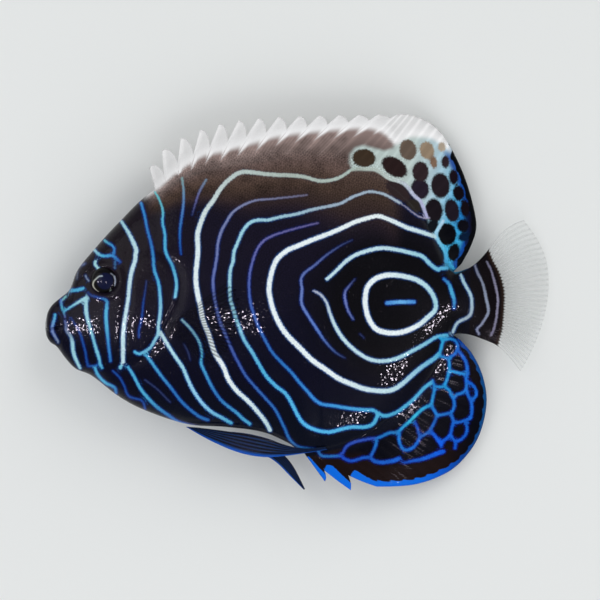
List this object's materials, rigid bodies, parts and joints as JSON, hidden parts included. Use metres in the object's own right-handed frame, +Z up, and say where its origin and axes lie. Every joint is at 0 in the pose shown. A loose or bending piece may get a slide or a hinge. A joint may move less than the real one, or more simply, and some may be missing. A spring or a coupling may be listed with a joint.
{
  "type": "emperor angelfish model",
  "caption": "Juvenile emperor angelfish as a still, life-size model lying on its right flank, with spiny and soft back fins, belly, breast, anal and tail fins.",
  "frame": {"origin": "under the middle of the whole fish, on the surface that it lies on", "axes": "+X from the snout to the tail, +Y from the belly to the back, +Z up out of the left flank"},
  "size_m": [0.1116, 0.0832, 0.0196],
  "materials": {
    "skin": "wet blue-black skin with white and blue rings",
    "spiny_fin": "brown web with a pale, clear edge",
    "blue_fin": "dark blue web with bright blue lines",
    "clear_fin": "clear web with pale rays",
    "eye": "wet, glossy, blue-black"
  },
  "bodies": {
    "root": {"head": "skin", "upper_lip": "skin", "lower_lip": "skin", "gill_cover_left": "skin", "gill_cover_right": "skin", "trunk": "skin", "tail_stalk": "skin", "spiny_dorsal_fin": "spiny_fin", "soft_dorsal_fin": "blue_fin", "anal_fin": "blue_fin", "tail_fin": "clear_fin", "pectoral_fin_left": "clear_fin", "pectoral_fin_right": "clear_fin", "pelvic_fin_left": "blue_fin", "pelvic_fin_right": "blue_fin", "eye_left": "eye", "eye_right": "eye"}
  },
  "joints": []
}
